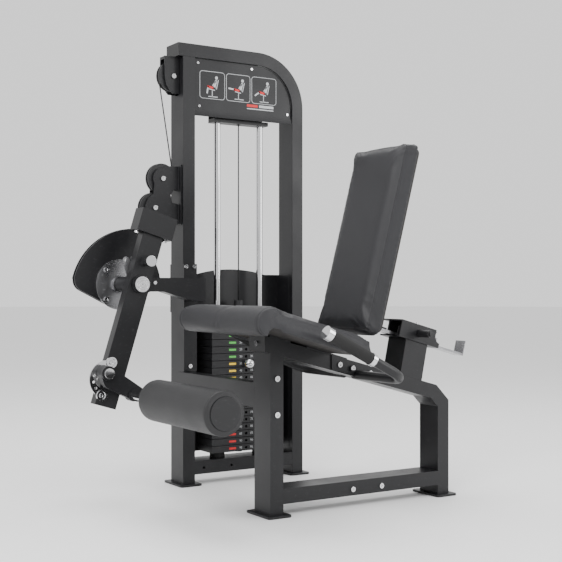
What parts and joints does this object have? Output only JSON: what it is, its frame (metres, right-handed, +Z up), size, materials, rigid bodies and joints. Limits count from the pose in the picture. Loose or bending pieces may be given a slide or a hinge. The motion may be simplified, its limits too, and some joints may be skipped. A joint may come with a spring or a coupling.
{
  "type": "leg extension machine",
  "caption": "Seated leg extension machine with a tube frame, cable and cam driven weight stack, swinging lever with foot roller, padded seat and sliding backrest.",
  "frame": {"origin": "on the floor, under the middle of the machine's bounding box", "axes": "+X along the machine from the foot roller to the backrest, +Y from the seat to the weight tower, +Z up"},
  "size_m": [1.2698, 1.0619, 1.66],
  "materials": {
    "frame_paint": "satin black powder coat",
    "chrome": "polished",
    "steel": "zinc plated",
    "nylon": "satin moulded nylon",
    "plate_iron": "black painted",
    "rubber": "matte",
    "foam_skin": "smooth matte foam skin",
    "vinyl": "fine grained vinyl",
    "board": "plywood painted black below"
  },
  "bodies": {
    "frame": {"left_upright": "frame_paint", "bent_upright": "frame_paint", "base_crossbeam": "frame_paint", "foot_plates": "frame_paint", "tube_end_caps": "nylon", "sign_panel": "frame_paint", "rod_bracket": "frame_paint", "guide_rods": "chrome", "rod_bumpers": "rubber", "rear_guard": "frame_paint", "lower_plates": "plate_iron", "column_plates": "frame_paint", "pivot_arm": "frame_paint", "pivot_bearings": "steel", "stop_buffer": "chrome", "side_pulley_bracket": "frame_paint", "twin_pulley_bracket": "frame_paint", "centre_pulley_bracket": "frame_paint", "pulley_bolts": "chrome", "frame_bolts": "chrome", "seat_beam": "frame_paint", "seat_front_leg": "frame_paint", "seat_base_rail": "frame_paint", "cross_beam": "frame_paint", "seat_brackets": "frame_paint", "seat_base": "board", "seat_pad": "vinyl", "handles": "frame_paint", "grips": "rubber", "grip_ends": "chrome", "backrest_post": "frame_paint", "backrest_guide": "frame_paint", "upper_cable": "nylon"},
    "backrest": {"backrest_bar": "steel", "backrest_bracket": "frame_paint", "backrest_board": "board", "backrest_pad": "vinyl"},
    "backrest_lock": {"backrest_pin": "nylon"},
    "cam_drive": {"cam": "frame_paint", "pivot_shaft": "steel", "start_quadrant": "steel", "pivot_cap": "chrome", "cam_bolts": "chrome", "cam_cable": "nylon"},
    "lever_arm": {"lever": "frame_paint", "counterweight": "frame_paint", "lever_bolts": "chrome", "sector_plate": "chrome"},
    "lever_lock": {"lever_pull_pin": "chrome"},
    "roller_swing": {"roller_arm": "frame_paint", "roller_axle": "chrome"},
    "roller": {"roller_foam": "foam_skin", "roller_caps": "nylon"},
    "side_wheel": {"side_pulley": "nylon"},
    "upper_twin_wheel": {"upper_twin_pulley": "nylon"},
    "lower_twin_wheel": {"lower_twin_pulley": "nylon"},
    "centre_wheel": {"centre_pulley": "nylon"},
    "stack": {"lifted_plates": "plate_iron", "selector_rod": "plate_iron"},
    "stack_pin": {"selector_pin": "chrome"}
  },
  "joints": [
    {"name": "leg_extension", "type": "hinge", "parent": "frame", "child": "cam_drive", "pos_m": [-0.4458, 0.456, 0.755], "axis": [0, 1, 0], "range_deg": [0, 90]},
    {"name": "start_position", "type": "hinge", "parent": "cam_drive", "child": "lever_arm", "pos_m": [-0.4458, 0.286, 0.755], "axis": [0, 1, 0], "range_deg": [-20, 20]},
    {"name": "start_pin", "type": "slide", "parent": "lever_arm", "child": "lever_lock", "axis": [0, -1, 0], "range_m": [0, 0.008], "stiffness_N_per_m": 900},
    {"name": "roller_reach", "type": "hinge", "parent": "lever_arm", "child": "roller_swing", "pos_m": [-0.58465, 0.236, 0.45133], "axis": [0, 1, 0], "range_deg": [-20, 30]},
    {"name": "roller_spin", "type": "hinge", "parent": "roller_swing", "child": "roller", "pos_m": [-0.4908, -0.194, 0.371], "axis": [0, 1, 0], "continuous": true},
    {"name": "stack_lift", "type": "slide", "parent": "frame", "child": "stack", "axis": [0, 0, 1], "range_m": [0, 0.256]},
    {"name": "stack_pin_pull", "type": "slide", "parent": "stack", "child": "stack_pin", "axis": [0, -1, 0], "range_m": [0, 0.08]},
    {"name": "side_wheel_spin", "type": "hinge", "parent": "frame", "child": "side_wheel", "pos_m": [-0.2288, 0.456, 1.536], "axis": [0, 1, 0], "range_deg": [-280, 0]},
    {"name": "upper_twin_spin", "type": "hinge", "parent": "frame", "child": "upper_twin_wheel", "pos_m": [-0.2728, 0.456, 1.15], "axis": [0, 1, 0], "range_deg": [0, 280]},
    {"name": "lower_twin_spin", "type": "hinge", "parent": "frame", "child": "lower_twin_wheel", "pos_m": [-0.3048, 0.456, 1.04], "axis": [0, 1, 0], "range_deg": [-280, 0]},
    {"name": "centre_wheel_spin", "type": "hinge", "parent": "frame", "child": "centre_wheel", "pos_m": [0.0112, 0.456, 1.536], "axis": [0, 1, 0], "range_deg": [-280, 0]},
    {"name": "backrest_slide", "type": "slide", "parent": "frame", "child": "backrest", "axis": [0.9659, 0, -0.2588], "range_m": [-0.1, 0.025]},
    {"name": "backrest_pin_pull", "type": "slide", "parent": "frame", "child": "backrest_lock", "axis": [0, -1, 0], "range_m": [0, 0.008], "stiffness_N_per_m": 900}
  ],
  "couplings": [
    {"joint": "stack_lift", "follows": "leg_extension", "m_per_rad": 0.1625},
    {"joint": "side_wheel_spin", "follows": "leg_extension", "ratio": -3.0952},
    {"joint": "upper_twin_spin", "follows": "leg_extension", "ratio": 3.0952},
    {"joint": "lower_twin_spin", "follows": "leg_extension", "ratio": -3.0952},
    {"joint": "centre_wheel_spin", "follows": "leg_extension", "ratio": -3.0952}
  ]
}
